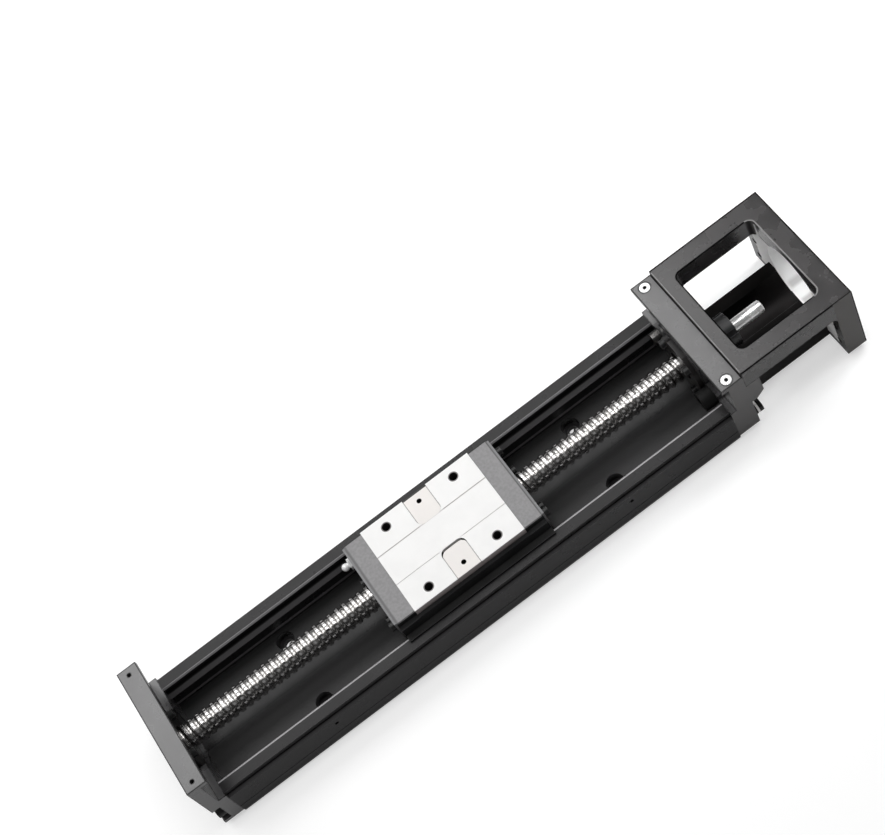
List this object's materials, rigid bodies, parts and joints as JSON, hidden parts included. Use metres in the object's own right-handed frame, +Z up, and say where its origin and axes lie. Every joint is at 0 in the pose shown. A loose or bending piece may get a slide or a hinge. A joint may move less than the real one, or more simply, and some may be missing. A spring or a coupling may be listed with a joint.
{
  "type": "ball screw linear module",
  "caption": "Single-axis linear module: an open steel U-rail with a ball screw, a ground guided carriage, two end blocks and a windowed motor bracket.",
  "frame": {"origin": "bottom centre of the bounding box, on the surface the rail is bolted to", "axes": "+X along the screw towards the motor end, +Y across the rail away from the near side of the picture, +Z up from the rail's base"},
  "size_m": [0.4394, 0.086, 0.0589],
  "materials": {
    "rail_black": "black oxide, satin, ground lips",
    "end_block_grey": "dark anodised, matt",
    "bracket_black": "black anodised, semi-gloss",
    "retainer_black": "black oxide, satin",
    "bearing_steel": "ground",
    "ball_steel": "polished",
    "screw_steel": "rolled thread, polished, lightly oiled",
    "black_screw": "black oxide",
    "bright_screw": "zinc plated",
    "lock_nut_black": "black oxide",
    "collar_grey": "turned",
    "snap_ring_black": "phosphated spring steel",
    "carriage_steel": "ground, matt bright",
    "tongue_steel": "ground",
    "cap_grey": "blasted grey",
    "cap_black": "moulded, matt",
    "scraper_grey": "stamped sheet",
    "seal_black": "moulded strip",
    "rubber_black": "moulded, matt"
  },
  "bodies": {
    "base": {"base_rail": "rail_black", "rear_end_block": "end_block_grey", "rear_bearing_outer": "bearing_steel", "rear_bearing_retainer": "retainer_black", "rear_retainer_screws": "black_screw", "rear_block_screws": "black_screw", "front_end_block": "end_block_grey", "motor_bracket": "bracket_black", "front_bearing_outers": "bearing_steel", "front_bearing_retainer": "retainer_black", "front_retainer_screws": "black_screw", "front_block_screws": "black_screw", "strip_screws": "bright_screw", "bumper": "rubber_black", "stop_screw": "bright_screw"},
    "screw": {"ball_screw": "screw_steel", "rear_bearing_inner": "bearing_steel", "rear_bearing_balls": "ball_steel", "rear_snap_ring": "snap_ring_black", "front_bearing_inners": "bearing_steel", "front_bearing_balls": "ball_steel", "spacer_collar": "collar_grey", "lock_nut": "lock_nut_black"},
    "carriage": {"carriage_block": "carriage_steel", "return_tongues": "tongue_steel", "end_cap_rear": "cap_grey", "end_cap_front": "cap_grey", "end_body_rear": "cap_black", "end_body_front": "cap_black", "scraper_rear": "scraper_grey", "scraper_front": "scraper_grey", "cap_screws_rear": "black_screw", "cap_screws_front": "black_screw", "side_strip_near": "cap_black", "side_strip_far": "cap_black", "side_seal_near": "seal_black", "side_seal_far": "seal_black", "ball_row_near": "ball_steel", "ball_row_far": "ball_steel", "grease_nipple": "bright_screw"}
  },
  "joints": [
    {"name": "carriage_slide", "type": "slide", "parent": "base", "child": "carriage", "axis": [1, 0, 0], "range_m": [-0.114, 0.101]},
    {"name": "screw_spin", "type": "hinge", "parent": "base", "child": "screw", "pos_m": [0, 0, 0.0296], "axis": [1, 0, 0], "range_deg": [-7274, 8210]}
  ],
  "couplings": [
    {"joint": "screw_spin", "follows": "carriage_slide", "rad_per_m": -1256.6}
  ]
}
